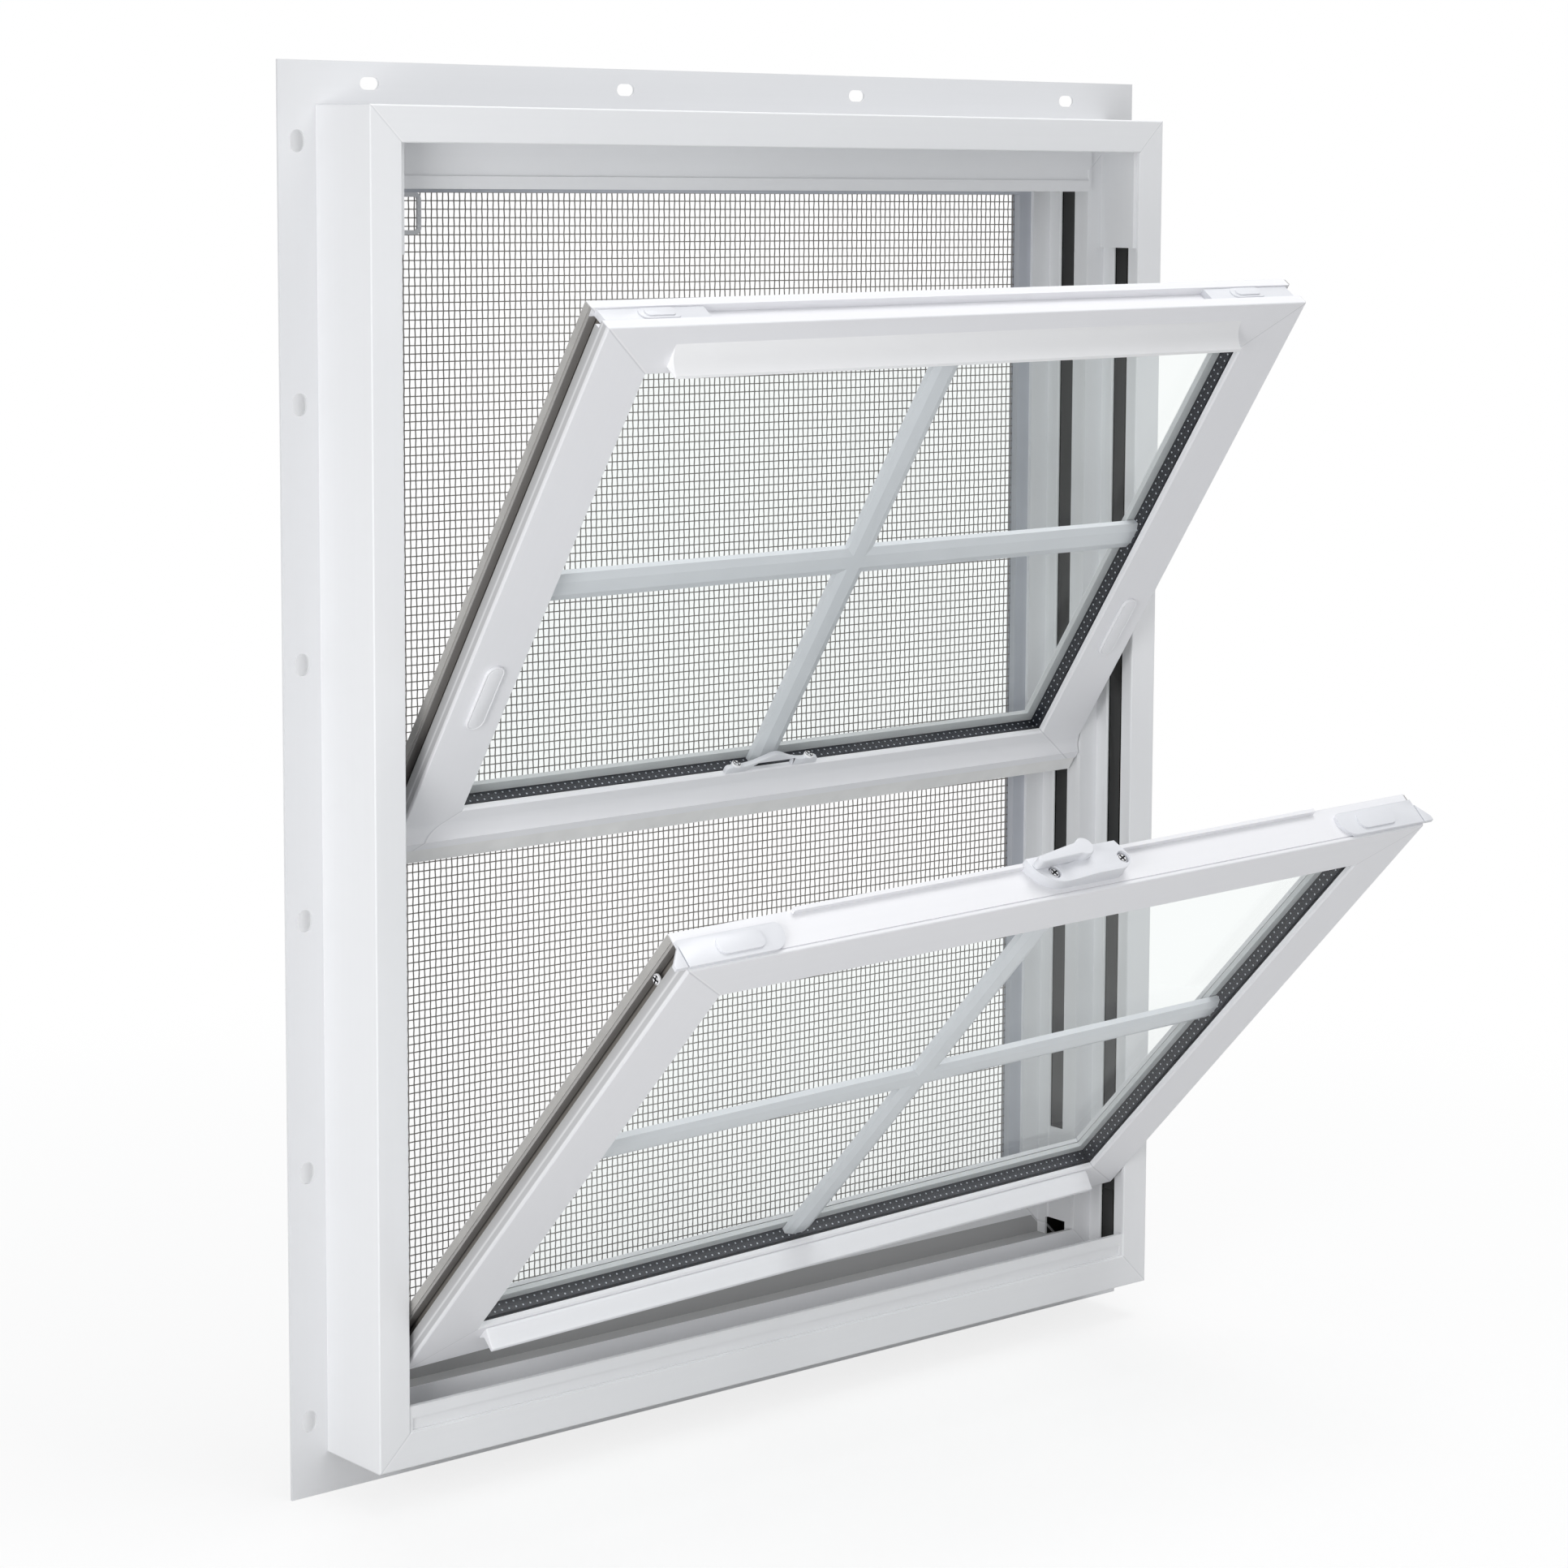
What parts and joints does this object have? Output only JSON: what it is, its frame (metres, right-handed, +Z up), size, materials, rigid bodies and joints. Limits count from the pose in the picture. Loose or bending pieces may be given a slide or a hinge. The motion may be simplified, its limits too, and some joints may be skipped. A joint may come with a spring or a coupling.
{
  "type": "vinyl double-hung window",
  "caption": "White vinyl double-hung window with nailing fin and insect screen, both sashes tilted in, with divided sealed glazing and white hardware.",
  "frame": {"origin": "room-side face of the bottom nailing fin, at mid width and mid height of the fin", "axes": "+Z up, -Y towards the room, +X to the right seen from the room"},
  "size_m": [0.645, 0.3481, 0.81],
  "materials": {
    "vinyl": "white extruded vinyl, satin",
    "fin": "white vinyl strip, satin",
    "sash_vinyl": "white extruded vinyl, satin",
    "glass": "clear sealed double glazing",
    "spacer": "black perforated spacer",
    "grid": "white painted grid between the panes",
    "pile": "grey pile strip",
    "hardware": "moulded white hardware",
    "screen_frame": "pale grey painted aluminium",
    "screen_mesh": "woven grey-brown screen cloth",
    "steel": "zinc bar",
    "shoe": "dark moulded shoe"
  },
  "bodies": {
    "root": {"frame_head": "vinyl", "frame_sill": "vinyl", "frame_left_jamb": "vinyl", "frame_right_jamb": "vinyl", "head_stop": "vinyl", "sill_dam": "vinyl", "jamb_cover_left": "vinyl", "jamb_cover_right": "vinyl", "nail_fin_top": "fin", "nail_fin_bottom": "fin", "nail_fin_left": "fin", "nail_fin_right": "fin", "upper_top_rail": "sash_vinyl", "upper_bottom_rail": "sash_vinyl", "upper_left_stile": "sash_vinyl", "upper_right_stile": "sash_vinyl", "lower_top_rail": "sash_vinyl", "lower_bottom_rail": "sash_vinyl", "lower_left_stile": "sash_vinyl", "lower_right_stile": "sash_vinyl", "upper_pull_lip": "sash_vinyl", "upper_interlock": "sash_vinyl", "lower_lift_rail": "sash_vinyl", "upper_inner_pane": "glass", "upper_outer_pane": "glass", "lower_inner_pane": "glass", "lower_outer_pane": "glass", "upper_spacer": "spacer", "lower_spacer": "spacer", "upper_grid": "grid", "lower_grid": "grid", "upper_weatherstrip": "pile", "lower_weatherstrip": "pile", "upper_meeting_pile": "pile", "lock_base": "hardware", "lock_lever": "hardware", "keeper": "hardware", "lower_left_tilt_latch": "hardware", "lower_right_tilt_latch": "hardware", "upper_left_tilt_latch": "hardware", "upper_right_tilt_latch": "hardware", "left_vent_stop": "hardware", "right_vent_stop": "hardware", "screen_bar_left": "screen_frame", "screen_bar_right": "screen_frame", "screen_bar_top": "screen_frame", "screen_bar_bottom": "screen_frame", "screen_pull_tab": "screen_frame", "screen_mesh": "screen_mesh", "upper_pivot_bars": "steel", "lower_pivot_bars": "steel", "upper_balance_shoes": "shoe", "lower_balance_shoes": "shoe"}
  },
  "joints": []
}
